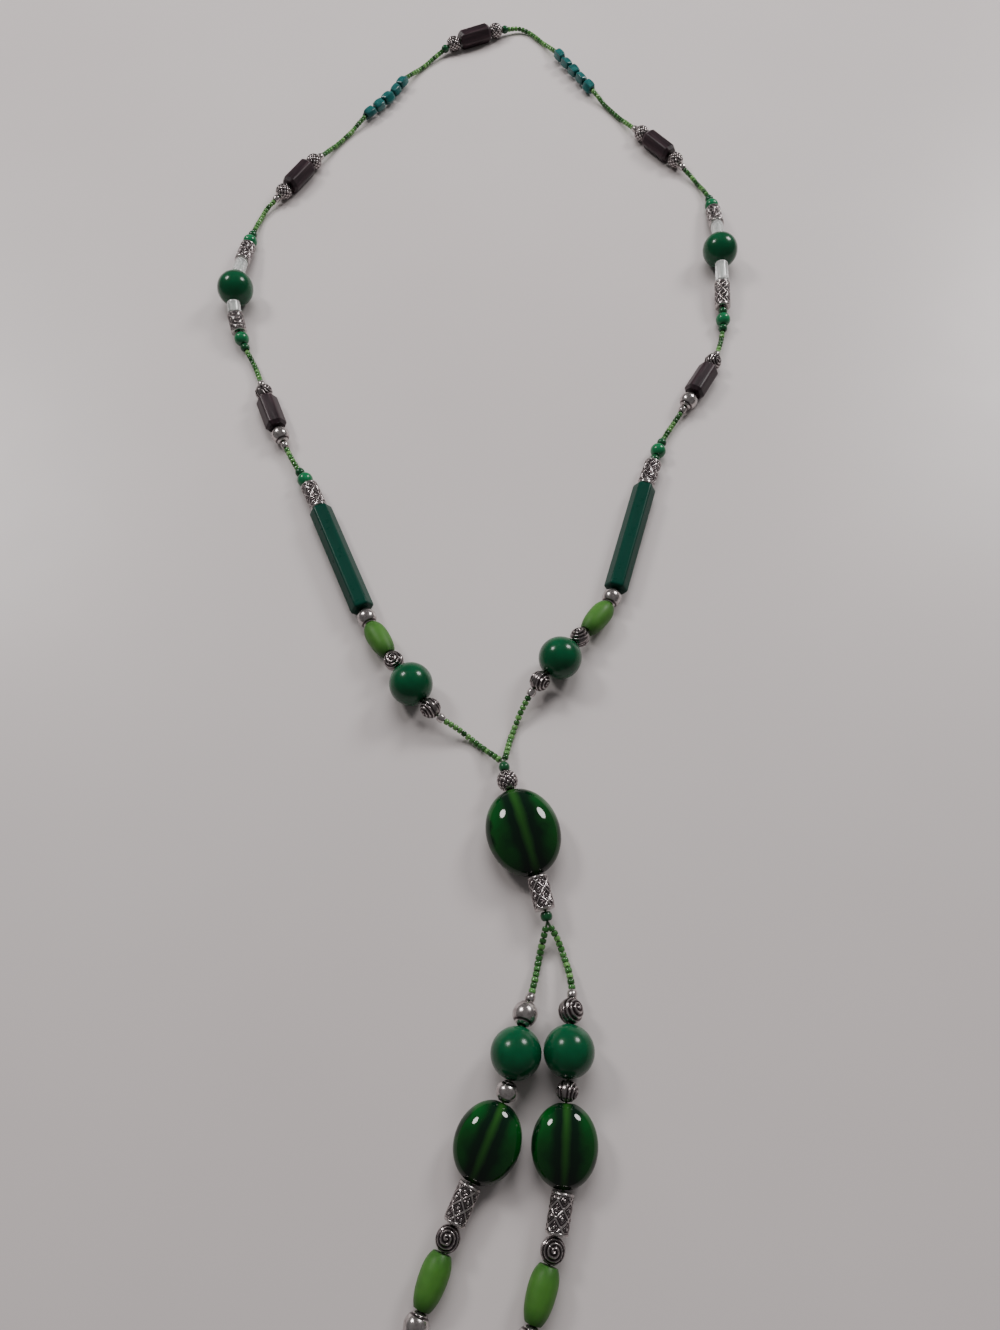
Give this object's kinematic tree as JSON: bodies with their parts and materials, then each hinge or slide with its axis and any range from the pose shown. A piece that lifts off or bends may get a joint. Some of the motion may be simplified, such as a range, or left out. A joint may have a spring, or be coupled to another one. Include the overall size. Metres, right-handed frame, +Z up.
{
  "type": "beaded_necklace",
  "caption": "Long slip-on Y necklace of green glass, dark wood, silver-coloured and seed beads, with an oval pendant bead and two beaded tassels",
  "frame": {"origin": "bottom centre of the bounding box of the necklace as it lies flat, on the table", "axes": "+Z up from the table, +Y towards the back of the neck, the tassels towards -Y, +X to the viewer's right in the picture"},
  "size_m": [0.1897, 0.485, 0.0126],
  "materials": {
    "seed_glass": "transparent olive-green glass",
    "clear_glass": "polished, nearly clear",
    "green_glass": "polished, deep green",
    "dark_wood": "polished dark wood, purplish brown",
    "teal_glass": "satin dark blue-green",
    "lime_glass": "frosted yellow-green glass",
    "antique_silver": "cast silver-coloured metal, dark in its recesses"
  },
  "bodies": {
    "root": {"back_barrel": "dark_wood", "left_strand_1": "seed_glass", "left_barrel_1": "dark_wood", "left_strand_2": "seed_glass", "left_silver_tube_1": "antique_silver", "left_clear_tube_1": "clear_glass", "left_big_ball_1": "green_glass", "left_clear_tube_2": "clear_glass", "left_silver_tube_2": "antique_silver", "left_strand_3": "seed_glass", "left_barrel_2": "dark_wood", "left_strand_4": "seed_glass", "left_silver_tube_3": "antique_silver", "left_long_tube": "teal_glass", "left_upper_ball": "antique_silver", "left_lime_drop": "lime_glass", "left_lower_ball": "antique_silver", "left_big_ball_2": "green_glass", "right_strand_1": "seed_glass", "right_barrel_1": "dark_wood", "right_strand_2": "seed_glass", "right_silver_tube_1": "antique_silver", "right_clear_tube_1": "clear_glass", "right_big_ball_1": "green_glass", "right_clear_tube_2": "clear_glass", "right_silver_tube_2": "antique_silver", "right_strand_3": "seed_glass", "right_barrel_2": "dark_wood", "right_strand_4": "seed_glass", "right_silver_tube_3": "antique_silver", "right_long_tube": "teal_glass", "right_upper_ball": "antique_silver", "right_lime_drop": "lime_glass", "right_lower_ball": "antique_silver", "right_big_ball_2": "green_glass", "yoke_strand": "seed_glass", "pendant_ball": "antique_silver", "pendant_oval": "green_glass", "pendant_tube": "antique_silver", "left_tassel_big_ball": "green_glass", "left_tassel_upper_ball": "antique_silver", "left_tassel_oval": "green_glass", "left_tassel_silver_tube": "antique_silver", "left_tassel_lower_ball": "antique_silver", "left_tassel_lime_drop": "lime_glass", "left_tassel_end_ball": "antique_silver", "right_tassel_big_ball": "green_glass", "right_tassel_upper_ball": "antique_silver", "right_tassel_oval": "green_glass", "right_tassel_silver_tube": "antique_silver", "right_tassel_lower_ball": "antique_silver", "right_tassel_lime_drop": "lime_glass", "right_tassel_end_ball": "antique_silver", "tassel_strand": "seed_glass"}
  },
  "joints": []
}
